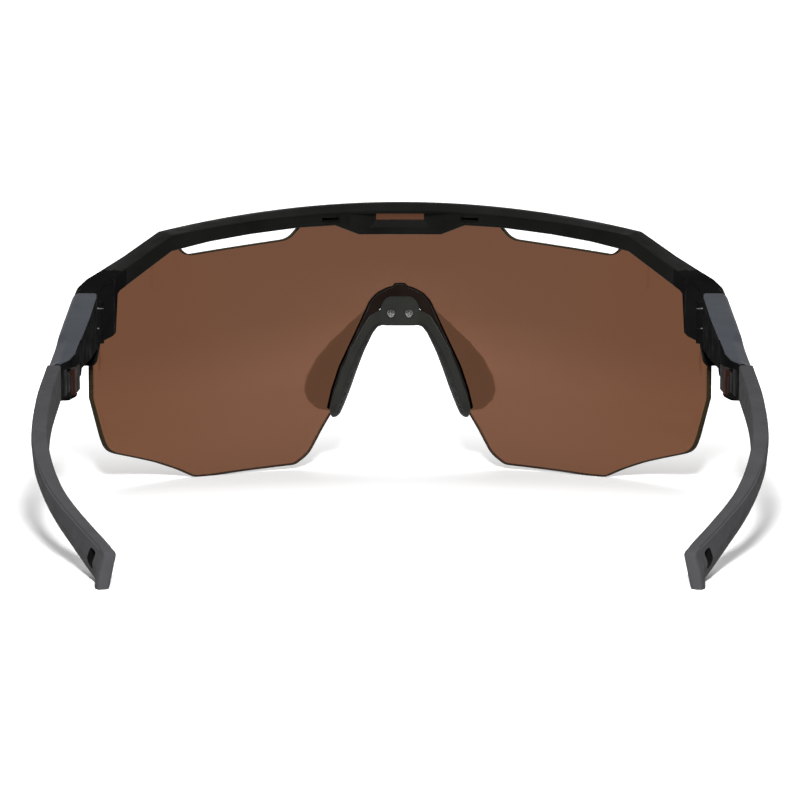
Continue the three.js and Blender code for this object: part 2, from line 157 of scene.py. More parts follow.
def cylinder(radius, x, y, low, high, sides=64):
    points, faces = lathe([(0, low), (radius, low), (radius, high), (0, high)], sides)
    return [(x + a, y + b, c) for a, b, c in points], faces


def block(x0, x1, y0, y1, z0, z1):
    return loft([[(x0, y0, z), (x1, y0, z), (x1, y1, z), (x0, y1, z)] for z in (z0, z1)])


def turned(skin, matrix):
    points, faces = skin
    return [matrix @ Vector(point) for point in points], faces


def mirrored(skin):
    return turned(skin, Matrix.Scale(-1, 4, (1, 0, 0)))


# ---- solids ----


def solid(name, skin):
    """An object with the skin's mesh, still in millimetres, its faces turned outwards."""
    points, faces = skin
    mesh = bpy.data.meshes.new(name)
    mesh.from_pydata([tuple(point) for point in points], [], faces)
    tidy = bmesh.new()
    tidy.from_mesh(mesh)
    bmesh.ops.remove_doubles(tidy, verts=tidy.verts, dist=1e-5)
    bmesh.ops.recalc_face_normals(tidy, faces=tidy.faces)
    tidy.to_mesh(mesh)
    tidy.free()
    made = bpy.data.objects.new(name, mesh)
    bpy.context.scene.collection.objects.link(made)
    return made


def bake(made):
    """Turns the object's modifiers into its mesh."""
    shaped = made.evaluated_get(bpy.context.evaluated_depsgraph_get())
    mesh = bpy.data.meshes.new_from_object(shaped)
    made.modifiers.clear()
    made.data = mesh


def combine(made, skins, operation):
    for skin in skins:
        tool = solid("tool", skin)
        modifier = made.modifiers.new("combine", "BOOLEAN")
        modifier.operation = operation
        modifier.solver = "EXACT"
        modifier.object = tool
        bake(made)
        bpy.data.objects.remove(tool)


def add(made, *skins):
    combine(made, skins, "UNION")


def cut(made, *skins):
    combine(made, skins, "DIFFERENCE")


def bevel(made, width, angle=40, segments=2):
    modifier = made.modifiers.new("bevel", "BEVEL")
    modifier.width = width
    modifier.segments = segments
    modifier.limit_method = "ANGLE"
    modifier.angle_limit = math.radians(angle)
    bake(made)


def melt(made, grain, smoothing):
    """One soft skin over everything that the object holds, as on a moulded rubber piece."""
    remesh = made.modifiers.new("remesh", "REMESH")
    remesh.mode = "VOXEL"
    remesh.voxel_size = grain
    smooth = made.modifiers.new("smooth", "SMOOTH")
    smooth.factor = 0.5
    smooth.iterations = smoothing
    bake(made)


def other_side(made, name):
    """A mirror image of a finished left piece."""
    mesh = made.data.copy()
    mesh.transform(Matrix.Scale(-1, 4, (1, 0, 0)))
    mesh.flip_normals()
    copy = bpy.data.objects.new(name, mesh)
    bpy.context.scene.collection.objects.link(copy)
    return copy


def finish_piece(made, body, nodes, finishes, sharp=32, weighted=True):
    """Moves the piece into the frame, gives it its finishes and puts it on its body."""
    mesh = made.data
    mesh.transform(TO_FRAME)
    for finish in finishes:
        mesh.materials.append(MATERIALS[finish])
    mesh.shade_smooth()
    mesh.set_sharp_from_angle(angle=math.radians(sharp))
    if weighted:
        normals = made.modifiers.new("even_shading", "WEIGHTED_NORMAL")
        normals.keep_sharp = True
    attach(made, body)
    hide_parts(*nodes)


# ---- materials ----


def material_with(name, color, roughness, **inputs):
    """A node material with one shader, and its node tree for what comes on top."""
    material = bpy.data.materials.new(name)
    material.use_nodes = True
    tree = material.node_tree
    shader = tree.nodes["Principled BSDF"]
    shader.inputs["Base Color"].default_value = (*color, 1)
    shader.inputs["Roughness"].default_value = roughness
    for label, value in inputs.items():
        shader.inputs[label.replace("_", " ")].default_value = value
    return material, tree, shader


def noise(tree, size_mm, detail=3):
    """Noise whose blotches are about size_mm across, fixed to the piece."""
    place = tree.nodes.new("ShaderNodeTexCoord")
    texture = tree.nodes.new("ShaderNodeTexNoise")
    texture.inputs["Scale"].default_value = 1 / (size_mm * MM)
    texture.inputs["Detail"].default_value = detail
    tree.links.new(place.outputs["Object"], texture.inputs["Vector"])
    return texture.outputs["Fac"]


def vary(tree, source, target, low, high, start=0.3, end=0.7):
    """Drives a shader number between low and high."""
    span = tree.nodes.new("ShaderNodeMapRange")
    span.inputs["From Min"].default_value = start
    span.inputs["From Max"].default_value = end
    span.inputs["To Min"].default_value = low
    span.inputs["To Max"].default_value = high
    tree.links.new(source, span.inputs["Value"])
    tree.links.new(span.outputs["Result"], target)


def tint(tree, source, target, dark, light, start=0.3, end=0.7):
    ramp = tree.nodes.new("ShaderNodeValToRGB")
    ramp.color_ramp.elements[0].position = start
    ramp.color_ramp.elements[0].color = (*dark, 1)
    ramp.color_ramp.elements[1].position = end
    ramp.color_ramp.elements[1].color = (*light, 1)
    tree.links.new(source, ramp.inputs["Fac"])
    tree.links.new(ramp.outputs["Color"], target)


def relief(tree, shader, source, depth_mm, strength):
    bump = tree.nodes.new("ShaderNodeBump")
    bump.inputs["Distance"].default_value = depth_mm * MM
    bump.inputs["Strength"].default_value = strength
    tree.links.new(source, bump.inputs["Height"])
    tree.links.new(bump.outputs["Normal"], shader.inputs["Normal"])


def gloss_plastic(name, color, roughness, specular):
    """Injection-moulded plastic with a polished skin: a little waviness, and wiping marks."""
    material, tree, shader = material_with(name, color, roughness, Specular_IOR_Level=specular)
    lighter = [c * 1.3 + 0.0015 for c in color]
    tint(tree, noise(tree, 9), shader.inputs["Base Color"], color, lighter)
    vary(tree, noise(tree, 3), shader.inputs["Roughness"], roughness * 0.75, roughness * 1.3)
    relief(tree, shader, noise(tree, 1.6, 2), 0.02, 0.12)
    return material


def rubber(name, color, roughness, grain_mm, strength, specular):
    """Moulded rubber with a fine matt grain."""
    material, tree, shader = material_with(name, color, roughness, Specular_IOR_Level=specular)
    darker = [c * 0.84 for c in color]
    tint(tree, noise(tree, 5), shader.inputs["Base Color"], darker, color)
    vary(tree, noise(tree, 2), shader.inputs["Roughness"], roughness * 0.9, roughness * 1.1)
    relief(tree, shader, noise(tree, grain_mm, 2), 0.05, strength)
    return material


def lens_material():
    """Brown tinted polycarbonate: part of the light passes through, and part is mirrored back in the
    tint's colour, alike on both faces. It turns redder towards the sides, and is darker at the top
    edge, behind the vent, with painted shade."""
    brown, red_brown, dark = (0.39, 0.18, 0.102), (0.39, 0.163, 0.079), (0.42, 0.33, 0.23)
    material, tree, shader = material_with(
        "lens_tint", brown, 0.05, Metallic=0.245, Transmission_Weight=1.0, IOR=1.35,
    )
    place = tree.nodes.new("ShaderNodeTexCoord")
    axes = tree.nodes.new("ShaderNodeSeparateXYZ")
    across = tree.nodes.new("ShaderNodeMath")
    across.operation = "ABSOLUTE"
    tree.links.new(place.outputs["Object"], axes.inputs["Vector"])
    tree.links.new(axes.outputs["X"], across.inputs[0])
    side = LENS_HALF_WIDTH * MM
    fade = tree.nodes.new("ShaderNodeMixRGB")
    fade.blend_type = "MULTIPLY"
    fade.inputs["Fac"].default_value = 1
    tint(tree, across.outputs["Value"], fade.inputs["Color1"], brown, red_brown, 0.5 * side, side)
    low, high = (z * MM for z in PAINTED_VENT_SHADE)
    # painted shade: the top edge, behind the brow's vent, is darkened
    tint(tree, axes.outputs["Z"], fade.inputs["Color2"], (1, 1, 1), dark, low, high)
    tree.links.new(fade.outputs["Color"], shader.inputs["Base Color"])
    vary(tree, noise(tree, 14), shader.inputs["Roughness"], 0.03, 0.07)
    return material


def steel_material():
    material, tree, shader = material_with("screw_steel", (0.62, 0.61, 0.59), 0.25, Metallic=1.0)
    vary(tree, noise(tree, 0.25), shader.inputs["Roughness"], 0.16, 0.38)
    relief(tree, shader, noise(tree, 0.15), 0.01, 0.2)
    return material


MATERIALS = {
    "gloss_frame": gloss_plastic("frame_gloss", (0.0024, 0.0024, 0.0021), 0.38, 0.12),
    "gloss_arm": gloss_plastic("arm_gloss", (0.018, 0.0214, 0.0282), 0.24, 0.35),
    "arm_inside": gloss_plastic("arm_satin", (0.0045, 0.005, 0.0045), 0.75, 0.02),
    # painted shade: a plain matt black that stands in for shade beside the hinge, in the brow's pockets, on
    # the knuckle, by the trim's recess and inside the cord slot
    "painted_shade_black": gloss_plastic("arm_painted_shade", (0.002, 0.002, 0.002), 0.7, 0.02),
    "bracket": gloss_plastic("bracket_gloss", (0.0055, 0.0035, 0.0025), 0.6, 0.03),
    "trim": gloss_plastic("trim_gloss", (0.005, 0.005, 0.0045), 0.55, 0.1),
    "cheek": gloss_plastic("trim_cheek", (0.012, 0.0026, 0.0014), 0.5, 0.08),
    "ear_rubber": rubber("sleeve_rubber", (0.033, 0.0327, 0.0355), 0.55, 0.16, 0.3, 0.25),
    # painted shade: a darker copy of the sleeve rubber, for the outer faces that point downwards
    "ear_rubber_painted_shade": rubber("sleeve_rubber_painted_shade", (0.019, 0.019, 0.0205), 0.55, 0.16, 0.3, 0.2),
    "soft_pad": rubber("pad_rubber", (0.015, 0.0155, 0.0135), 0.5, 0.2, 0.3, 0.25),
    "lens": lens_material(),
    "lens_edge": gloss_plastic("lens_edge", (0.012, 0.009, 0.004), 0.25, 0.1),
    "steel": steel_material(),
}


# ---- lens ----

LENS_TOP = [
    (0, 58.8), (8, 58.8), (8.6, 56.6), (22.2, 56.2), (25, 53), (26.4, 52.3), (47.5, 49.7), (48.9, 50.8),
    (49.6, 52.6), (61.5, 46.5), (65, 43), (LENS_HALF_WIDTH, 40),
]
LENS_BOTTOM = [
    (0, 39.8), (2.8, 39.8), (5.2, 38), (7.2, 35), (10.7, 28), (14.3, 18), (15.3, 13.6), (17.9, 9.3),
    (20.6, 4.3), (21.8, 3), (24.1, 1.3), (42.6, 0), (46.4, 0), (50.1, 2.1), (54.6, 4.2), (62.6, 7.2),
    (63.9, 8), (64.7, 9.2), (65.4, 11.5), (LENS_HALF_WIDTH, 20.3),
]


def on_radius(x, z, r):
    """A point at radius r about the lens axis, at the angle where the lens face is x from the middle."""
    return Vector((x / LENS_RADIUS * r, LENS_RADIUS - r * math.sqrt(1 - (x / LENS_RADIUS) ** 2), z))


def inner_radius(x, grow):
    """Radius of the lens's rear face about the axis of its front face."""
    c = math.sqrt(1 - (x / LENS_RADIUS) ** 2)
    offset = LENS_THICKNESS * c
    rear = LENS_RADIUS - grow
    return math.sqrt(offset**2 + rear**2 - LENS_THICKNESS**2) - offset


def moved_out(loop, distance):
    """A closed line of (x, z) that runs counterclockwise, moved out by a distance."""
    moved = []
    for i, here in enumerate(loop):
        ahead = loop[(i + 1) % len(loop)] - loop[i - 1]
        moved.append(here + Vector((ahead.y, -ahead.x)).normalized() * distance)
    return moved


def lens_skin(grow=0, bevel_width=LENS_BEVEL):
    """The shield: its two faces as grids of columns, and its rim between them. Returns the skin
    and the number of face quads, which come first."""
    top = rounded_chain(LENS_TOP, 0.9)
    bottom = rounded_chain(LENS_BOTTOM, 0.9)
    half = sorted({round(p[0], 3) for p in [*top, *bottom]} | set(spaced(0, LENS_HALF_WIDTH, 61)))
    half = [x for i, x in enumerate(half) if i == 0 or x - half[i - 1] > 0.02]
    half[-1] = LENS_HALF_WIDTH
    columns = [-x for x in reversed(half[1:])] + half
    low = [Vector((x, height_at(bottom, abs(x)))) for x in columns]
    high = [Vector((x, height_at(top, abs(x)))) for x in columns]
    last, rows = len(columns) - 1, LENS_ROWS
    side = range(1, rows)
    loop = low + [low[last].lerp(high[last], j / rows) for j in side]
    loop += high[::-1] + [high[0].lerp(low[0], j / rows) for j in side]
    places = [(k, 0) for k in range(last + 1)] + [(last, j) for j in side]
    places += [(k, rows) for k in range(last, -1, -1)] + [(0, rows - j) for j in side]

    edge = moved_out(loop, grow)
    inset = moved_out(loop, grow - bevel_width)
    grid = {place: point for place, point in zip(places, inset)}
    for k in range(1, last):
        for j in side:
            grid[k, j] = grid[k, 0].lerp(grid[k, rows], j / rows)

    points, faces, number = [], [], {}
    for face in ("front", "rear"):
        for (k, j), (x, z) in grid.items():
            number[face, k, j] = len(points)
            r = LENS_RADIUS + grow if face == "front" else inner_radius(x, grow)
            points.append(on_radius(x, z, r))
        for k in range(last):
            for j in range(rows):
                around = ((k, j), (k + 1, j), (k + 1, j + 1), (k, j + 1))
                quad = [number[(face, *place)] for place in around]
                faces.append(tuple(quad if face == "front" else reversed(quad)))
    face_count = len(faces)

    rims = [[number["front", k, j] for k, j in places]]
    for depth in ("front", "rear"):
        rims.append([])
        for x, z in edge:
            rims[-1].append(len(points))
            front = LENS_RADIUS + grow - bevel_width
            r = front if depth == "front" else inner_radius(x, grow) + bevel_width
            points.append(on_radius(x, z, r))
    rims.append([number["rear", k, j] for k, j in places])
    n = len(places)
    for one, two in zip(rims, rims[1:]):
        faces += [(one[i], one[(i + 1) % n], two[(i + 1) % n], two[i]) for i in range(n)]
    return (points, faces), face_count


def make_lens():
    skin, face_count = lens_skin()
    lens = solid("lens", skin)
    finish_piece(lens, "front", ["shield_lens"], ["lens", "lens_edge"], sharp=30, weighted=False)
    lens.visible_glossy = False
    for polygon in lens.data.polygons:
        polygon.material_index = 0 if polygon.index < face_count else 1


LENS_ROOM = lens_skin(CLEARANCE, 0.05)[0]


# ---- front frame ----

BROW_ARC_X = 53.6  # the top edge is a shallow parabola as far as this corner
BROW_ARC_SPREAD = 530  # the larger, the flatter the parabola
WING_TOP = [
    (BROW_ARC_X, BROW_TOP - BROW_ARC_X**2 / BROW_ARC_SPREAD), (60.6, 50.2), (65.1, 47.5),
    (67.9, 45.9), (69.4, 44.5), (69.9, 43.2),
]
BROW_BOTTOM = [
    (0, 53.3), (9.1, 53.3), (14.4, 55.4), (22.3, 55), (33.2, 53.8), (41.8, 52.5), (49.6, 50.8),
    (60, 43.1), (60.6, 42.2), (61, 34.4), (64.2, 33),
]
# Sections of the block behind the wing: place, outer face, and top at the outer and the inner side.
END_BLOCK = [(35.5, 67.9, 45.4, 46.4), (SEAM_Y - 0.4, 69.6, 43.35, 45.7), (SEAM_Y, 69.4, 43.0, 45.4)]
# The vent in the middle of the brow: its window, and the funnel behind it, as sections with their
# place, half width at the bottom and at the top, bottom and top.
VENT_WINDOW = (-5.4, 5.4, -5, 10, 56.4, 57.9)
VENT_FUNNEL = [(2.7, 5.6, 5.8, 56.2, 58), (6.2, 7, 12.6, 54.4, 58)]
BROW_POCKET = (13.7, 17.5, 4.5, 10, 56.05, 57.15)
PAINTED_SHADE_X, PAINTED_SHADE_BELOW = 59, 47.5  # painted shade: the frame is matt black outside this X and below this height
FRAME_FINISHES = ["gloss_frame", "painted_shade_black"]


def brow_section(angle):
    """One section of the bar in the radial plane at the angle: front face, top, and the facet that
    slopes down to the rear face."""
    front, back = FRAME_FRONT * math.sin(abs(angle)), FRAME_BACK * math.sin(abs(angle))
    top = BROW_TOP - front**2 / BROW_ARC_SPREAD if front < BROW_ARC_X else height_at(WING_TOP, front)
    bottom = height_at(BROW_BOTTOM, back)
    facet = max(0.4, 1.9 * (1 - (back / 60) ** 2))
    profile = [
        (FRAME_FRONT, bottom + 0.3), (FRAME_FRONT, top - 1), (FRAME_FRONT - 0.8, top),
        (FRAME_FRONT - 3.2, top - 0.1), (FRAME_BACK, top - facet), (FRAME_BACK, bottom + 0.4),
        (FRAME_BACK + 0.5, bottom), (FRAME_FRONT - 0.4, bottom),
    ]
    sine, cosine = math.sin(angle), math.cos(angle)
    return [(r * sine, LENS_RADIUS - r * cosine, z) for r, z in rounded(profile, 0.45, 3)]


def brow_angles():
    last = math.asin(WING_TOP[-1][0] / FRAME_FRONT)
    corners = [math.asin(x / FRAME_FRONT) for x, _ in WING_TOP]
    corners += [math.asin(x / FRAME_BACK) for x, _ in BROW_BOTTOM]
    half = sorted({angle for angle in [*corners, *spaced(0, last, 64)] if angle <= last})
    half = [angle for i, angle in enumerate(half) if i == 0 or angle - half[i - 1] > 0.002]
    return [-angle for angle in reversed(half[1:])] + half


def end_block():
    """The block behind the wing; its top slopes down to the temple."""
    rings = []
    for y, outer, top, inner in END_BLOCK:
        corners = [
            (61.1, y, 34.1), (64.4, y, 32.5), (65.2, y, 27.9), (65.6, y, 27.6), (outer - 0.8, y, 27.6),
            (outer, y, top - 1.2), (outer - 0.7, y, top), (64.2, y, top + 0.1), (61.1, y, inner),
        ]
        rings.append(rounded(corners, 0.5, 3))
    return loft(rings)


def vent_funnel():
    rings = []
    for y, low_x, high_x, bottom, top in VENT_FUNNEL:
        rings.append([(-low_x, y, bottom), (low_x, y, bottom), (high_x, y, top), (-high_x, y, top)])
    return loft(rings)


def both(skin):
    return skin, mirrored(skin)


def at_hinge(radius, low, high, sides=64):
    return cylinder(radius, HINGE_X, HINGE_Y, low, high, sides)


def make_frame():
    bar = solid("frame", loft([brow_section(angle) for angle in brow_angles()]))
    behind_seam = block(-75, 75, SEAM_Y, SEAM_Y + 5, 20, 60)
    cut(bar, behind_seam)
    add(bar, *both(end_block()))
    add(bar, *both(at_hinge(HINGE_RADIUS, BARREL_BOTTOM, BARREL_TOP)))
    cut(bar, LENS_ROOM, block(*VENT_WINDOW), vent_funnel())
    cut(bar, *both(block(*BROW_POCKET)))
    cut(bar, *both(at_hinge(HINGE_RADIUS + CLEARANCE, KNUCKLE_BOTTOM - CLEARANCE, KNUCKLE_TOP + CLEARANCE)))
    bore, counterbore = HINGE_SCREW["shank"] + SCREW_GAP, HINGE_SCREW["head"] + SCREW_GAP
    below = BARREL_BOTTOM - 1
    cut(bar, *both(at_hinge(bore, below, HINGE_SCREW["top"] + CLEARANCE, 24)))
    cut(bar, *both(at_hinge(counterbore, below, HINGE_SCREW["seat"] + CLEARANCE, 24)))
    finish_frame(bar)
    finish_piece(bar, "front", ["front_frame"], FRAME_FINISHES)
    bar.visible_glossy = False


def finish_frame(bar):
    """Sorts the frame's faces: matt black, as painted shade, in the brow's pockets, and at both ends on
    all faces but those that point outwards."""
    near, far, front, _, bottom, top = BROW_POCKET
    for polygon in bar.data.polygons:
        x, y, z = polygon.center
        at_end = abs(x) > PAINTED_SHADE_X and z < PAINTED_SHADE_BELOW and polygon.normal.x * x < 0.5 * abs(x)
        in_pocket = near - 0.1 < abs(x) < far + 0.1 and bottom - 0.05 < z < top + 0.05 and y > front - 0.5
        # painted shade: these faces get the plain matt black
        if at_end or in_pocket:
            polygon.material_index = FRAME_FINISHES.index("painted_shade_black")


# ---- nose bracket, saddle and screws ----

NOSE_SCREW_X, NOSE_SCREW_Z = 2, 36
NOSE_HOLE_RADIUS = 0.75
SADDLE_FRONT = 6  # front face of the saddle
SADDLE_CURVE = 150  # its arms' front faces stand back by x * x / this
BRACKET_OUTER = [
    (1.3, 42), (1.5, 41.4), (3, 41), (5.3, 39.8), (6.9, 38), (8.4, 34.8), (11.6, 28), (13.9, 23.1),
    (15.6, 17.9), (16.6, 13.6),
]
BRACKET_INNER = [(14.6, 13.2), (13.4, 17.2), (11.7, 22), (9.4, 27), (6.3, 33.6), (4.9, 36.6), (3.6, 37.9)]
BRACKET_RADII = (74.6, 76.7, 78.9, 81)  # of its shells about the lens axis, from rear to front
BRACKET_TAB = (-4.3, 4.3, 3.2, SADDLE_FRONT - CLEARANCE, 34.4, 39.2)  # carries the saddle


def nose_screw_hole():
    points, faces = cylinder(NOSE_HOLE_RADIUS, 0, 0, 2.8, 14.8, 32)
    return [(x + NOSE_SCREW_X, z, y + NOSE_SCREW_Z) for x, y, z in points], faces


def make_bracket():
    half = [*BRACKET_OUTER, *BRACKET_INNER]
    outline = rounded([*half, *[(-x, z) for x, z in reversed(half)]], 0.6, 3)
    shells = [[on_radius(x, z, r) for x, z in outline] for r in BRACKET_RADII]
    bracket = solid("nose_bracket", loft(shells))
    bevel(bracket, 0.15, 60)
    add(bracket, block(*BRACKET_TAB))
    cut(bracket, LENS_ROOM, *both(nose_screw_hole()))
    finish_piece(bracket, "front", ["nose_bracket"], ["bracket"])


# One arm of the saddle, from its root in the centre block to its tip: the inner and the outer edge
# of its front face, its depth towards the face, and how far its rear edge leans outwards.
SADDLE_ARM = [
    (2.6, 33.3, 3, 36.7, 3.4, 0), (4, 33.3, 5, 36.4, 3.6, 0), (4.9, 33, 6.7, 35.3, 4.6, 0.3),
    (6, 31.4, 8.2, 32.7, 6.4, 0.7), (8, 27.2, 10.4, 28.2, 9, 1.1), (9.5, 23.3, 12, 24, 10.6, 1.3),
    (10.9, 19.3, 13.4, 19.9, 10.8, 1.3), (12.1, 16.2, 14.5, 16.7, 9.6, 1.2), (12.9, 14.3, 15, 14.7, 7.6, 1),
    (13.4, 13.3, 15, 13.6, 5.6, 0.8), (13.9, 12.8, 14.7, 12.9, 4, 0.7),
]
ARM_STEPS = 56  # sections of one arm


def saddle_front(x):
    return SADDLE_FRONT + x * x / SADDLE_CURVE


def saddle_row(at):
    """The row at a place along the table, counted in rows."""
    i = min(int(at), len(SADDLE_ARM) - 2)
    return [a + (b - a) * (at - i) for a, b in zip(SADDLE_ARM[i], SADDLE_ARM[i + 1])]


def saddle_point(at, across, back):
    """A point on an arm: across from 0 at its inner edge to 1 at its outer edge, and back from 0 at
    its front face to 1 at its rear edge."""
    x0, z0, x1, z1, depth, lean = saddle_row(at)
    x, z = x0 + (x1 - x0) * across, z0 + (z1 - z0) * across
    return Vector((x + lean * back**1.5, saddle_front(x0) + depth * back, z))


def saddle_ring(at):
    corners = [(0, 0), (1, 0), (1.02, 0.65), (0.86, 1), (0.2, 1), (-0.04, 0.7)]
    return rounded([saddle_point(at, across, back) for across, back in corners], 0.75, 4)


def saddle_centre():
    """The block between the arms, with rounded shoulders over the two screws."""
    corners = [(-4.6, 33.2), (4.6, 33.2), (4.4, 37.6), (2.9, 39.7), (-2.9, 39.7), (-4.4, 37.6)]
    outline = rounded(corners, 1.5, 5)
    rings = []
    for y, inset in ((0, 0.3), (0.3, 0), (3, 0), (3.25, 0.08), (3.4, 0.3)):
        s = 1 - inset / 4.6
        rings.append([(x * s, SADDLE_FRONT + y, 36.4 + (z - 36.4) * s) for x, z in outline])
    return loft(rings)


def saddle_channel():
    """The shallow channel that runs down an arm's rear face, inside its rim."""
    rings = []
    for at in spaced(3, 8.2, 20):
        middle = saddle_point(at, 0.52, 1.01)
        width = 0.52 * min(1, (8.3 - at) * 1.5, at - 2.6)
        rings.append([
            middle + Vector((width * math.cos(a), 0.4 * math.sin(a), 0))
            for a in (math.tau * k / 12 for k in range(12))
        ])
    return loft(rings)


def saddle_dimple(at):
    """A small blind hole in an arm's inner face, near its rear edge."""
    profile = [(0, -0.6), (0.36, -0.5), (0.5, 0), (0.36, 0.5), (0, 0.6)]
    return turned(lathe(profile, 12), Matrix.Translation(saddle_point(at, 0.02, 0.83)))


def make_saddle():
    saddle = solid("nose_saddle", saddle_centre())
    arm = loft([saddle_ring(at) for at in spaced(0, len(SADDLE_ARM) - 1, ARM_STEPS)])
    add(saddle, *both(arm))
    cut(saddle, *both(saddle_channel()))
    for at in spaced(3.4, 8, 9):
        cut(saddle, *both(saddle_dimple(at)))
    cut(saddle, *both(nose_screw_hole()))
    melt(saddle, 0.17, 4)
    finish_piece(saddle, "front", ["nose_saddle"], ["soft_pad"], sharp=60, weighted=False)


def cross_recess(length, width, low, high):
    """The two crossed slots of a screwdriver recess, tapered towards the bottom."""
    slots = []
    for x, y in ((length, width), (width, length)):
        rings = [
            [(-x * s, -y * s, z), (x * s, -y * s, z), (x * s, y * s, z), (-x * s, y * s, z)]
            for s, z in ((0.6, low), (1, high))
        ]
        slots.append(loft(rings))
    return slots


def make_nose_screws():
    seat = SADDLE_FRONT + 3.4 + CLEARANCE
    profile = [(0, 3.6), (0.45, 3.6), (0.45, seat), (0.84, seat), (0.9, seat + 0.08), (0.9, seat + 0.26)]
    profile += [(0.9 * math.cos(a), seat + 0.26 + 0.44 * math.sin(a)) for a in spaced(0.25, 1.4, 7)]
    screw = solid("left_nose_screw", lathe([*profile, (0, seat + 0.7)]))
    cut(screw, *cross_recess(0.6, 0.15, seat + 0.15, seat + 0.8))
    along_y = Matrix(((1, 0, 0, NOSE_SCREW_X), (0, 0, 1, 0), (0, -1, 0, NOSE_SCREW_Z), (0, 0, 0, 1)))
    turn = Matrix.Rotation(math.radians(20), 4, "Z")
    screw.data.transform(along_y @ turn)
    other = other_side(screw, "right_nose_screw")
    for made, side in ((screw, "left"), (other, "right")):
        nodes = [f"{side}_nose_screw"]
        finish_piece(made, "front", nodes, ["steel"], sharp=35, weighted=False)


def make_hinge_screws():
    shank, head, bottom, seat, top = HINGE_SCREW.values()
    profile = [(0, bottom), (head - 0.15, bottom), (head, bottom + 0.12), (head, seat), (shank, seat)]
    profile += [(shank, top - 0.1), (shank - 0.1, top), (0, top)]
    screw = solid("left_hinge_screw", lathe(profile, 32))
    cut(screw, block(-head - 0.1, head + 0.1, -0.13, 0.13, bottom - 0.3, bottom + 0.25))
    screw.data.transform(Matrix.Translation((HINGE_X, HINGE_Y, 0)) @ Matrix.Rotation(0.6, 4, "Z"))
    other = other_side(screw, "right_hinge_screw")
    for made, side in ((screw, "left"), (other, "right")):
        nodes = [f"{side}_hinge_screw"]
        finish_piece(made, "front", nodes, ["steel"], sharp=35, weighted=False)


# ---- temples ----

# Place along the arm, inner and outer faces, underside at each of them, and top.
ARM = [
    (41.2, 64.3, 69.7, 31.6, 28.6, 43.3), (58, 64.5, 70, 30.7, 27.2, 39.4),
    (70.5, 65, 70.2, 30.3, 25.9, 36.4), (74, 65.1, 70.2, 26.4, 25.4, 35.6),
    (79, 65.3, 70.3, 25.4, 25, 34.4), (83.5, 66.2, 70.4, 25.2, 25, 33.4),
    (85.85, 67.7, 70.5, 25.6, 25.5, 32.9),
]
ARM_START, ARM_END = ARM[0][0], ARM[-1][0]
CORNER = 1.5  # radius of the arm's front corner, seen from above
TRIM = {"inner": 65.3, "outer": 67.7, "front": 72, "back": 85.4, "bottom": 26.2, "top": 31.4}
# The trim's ribs: inner face, thickness, rear end, bottom and top.
TRIM_RIBS = [(66.95, 0.3, 85.4, 26.2, 31.4), (66.35, 0.2, 84.6, 26.8, 30.6), (65.8, 0.16, 83.6, 26.6, 30)]
ARM_FINISHES = ["gloss_arm", "arm_inside", "painted_shade_black"]
TRIM_FINISHES = ["trim", "cheek"]
SLEEVE_FINISHES = ["ear_rubber", "painted_shade_black", "ear_rubber_painted_shade"]


def arm_chamfer(y):
    """Width and drop of the facet along the arm's outer top edge: narrow, and wide in the last part."""
    grow = smoothstep(y, 66, 72)
    return 0.75 + 1.6 * grow, 0.6 + 0.5 * grow


def arm_ring(y):
    inner, outer, inner_bottom, outer_bottom, top = row_at(ARM, y)
    ahead = max(CORNER - (y - ARM_START), 0)
    turn = CORNER - math.sqrt(CORNER**2 - ahead**2)
    end = 0.25 * max(0, 1 - (y - ARM_START) / 0.3) + 0.08 * max(0, 1 - (ARM_END - y) / 0.3)
    inner, outer = inner + turn + end, outer - 0.4 * turn - end
    wide, drop = arm_chamfer(y)
    wide = min(wide, 0.6 * (outer - inner))
    corners = [
        (inner, y, inner_bottom + end), (outer, y, outer_bottom + end), (outer, y, top - drop - end),
        (outer - wide, y, top - end), (inner, y, top - end),
    ]
    return rounded(corners, 0.4, 4)


def make_arm():
    stations = spaced(ARM_START, ARM_START + CORNER, 9) + spaced(43.6, 65, 20)
    stations += [*spaced(66, ARM_END - 0.3, 36), ARM_END]
    arm = solid("left_arm", loft([arm_ring(y) for y in stations]))
    cut(arm, at_hinge(HINGE_RADIUS + CLEARANCE, BARREL_BOTTOM - 9, BARREL_TOP + CLEARANCE))
    add(arm, at_hinge(HINGE_RADIUS, KNUCKLE_BOTTOM, KNUCKLE_TOP))
    add(arm, block(HINGE_X, HINGE_X + 3, HINGE_Y, HINGE_Y + 3, KNUCKLE_BOTTOM, KNUCKLE_TOP))
    cut(arm, at_hinge(HINGE_SCREW["shank"] + SCREW_GAP, BARREL_BOTTOM, BARREL_TOP, 24))
    gap = CLEARANCE
    cut(arm, block(TRIM["inner"] - 2, TRIM["outer"] + gap, TRIM["front"] - gap, ARM_END + 1,
                   TRIM["bottom"] - gap, TRIM["top"] + gap))
    add(arm, loft([sleeve_ring(t, SLEEVE_WALL + CLEARANCE) for t in (-0.03, 0, 0.05)]))
    finish_arm(arm)
    return arm


def finish_arm(arm):
    """Sorts the arm's faces: gloss outside, satin on the inner face, and black on the knuckle, in the
    trim's recess and on the stub in the sleeve. The black on the knuckle and in the recess is painted
    shade."""
    recess = TRIM["front"] - 1
    satin, painted_shade_black = ARM_FINISHES.index("arm_inside"), ARM_FINISHES.index("painted_shade_black")
    for polygon in arm.data.polygons:
        x, y, z = polygon.center
        normal = polygon.normal
        on_knuckle = math.hypot(x - HINGE_X, y - HINGE_Y) < HINGE_RADIUS + 0.1 and normal.z < 0.9
        by_trim = z < TRIM["top"] + 1 and x < TRIM["outer"] + 1
        # painted shade: the hinge knuckle is plain black; so is the stub's end, hidden in the sleeve
        if y > ARM_END - 0.1 or on_knuckle:
            polygon.material_index = painted_shade_black
        elif normal.x < -0.7 and y < recess:
            polygon.material_index = satin
        # painted shade: plain black on the faces by the trim's recess and on the inner faces behind it
        elif y > recess and (by_trim or normal.x < -0.5):
            polygon.material_index = painted_shade_black


